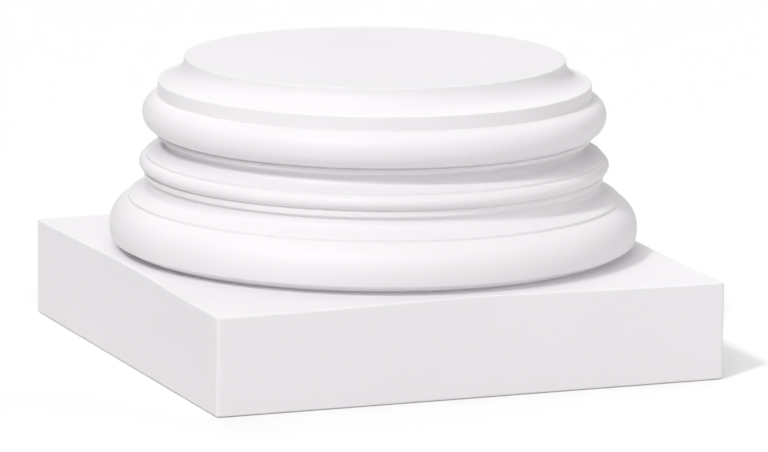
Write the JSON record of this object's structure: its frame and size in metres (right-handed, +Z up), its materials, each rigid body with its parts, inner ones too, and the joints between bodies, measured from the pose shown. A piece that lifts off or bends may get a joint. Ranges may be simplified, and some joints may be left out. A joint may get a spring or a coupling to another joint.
{
  "type": "column base",
  "caption": "White moulded column base: a turned Attic form with two tori, hollows and a bead on a square plinth, with a flat round seat for a shaft.",
  "frame": {"origin": "centre of the plinth's underside", "axes": "+Z up along the turned axis, towards the shaft's seat; X and Y square to the plinth's sides, with -Y the wide face in the picture and -X the narrow one"},
  "size_m": [0.31, 0.31, 0.1712],
  "materials": {
    "primed_white": "smooth satin-matt white primer on rigid moulded foam"
  },
  "bodies": {
    "root": {"column_base": "primed_white"}
  },
  "joints": []
}
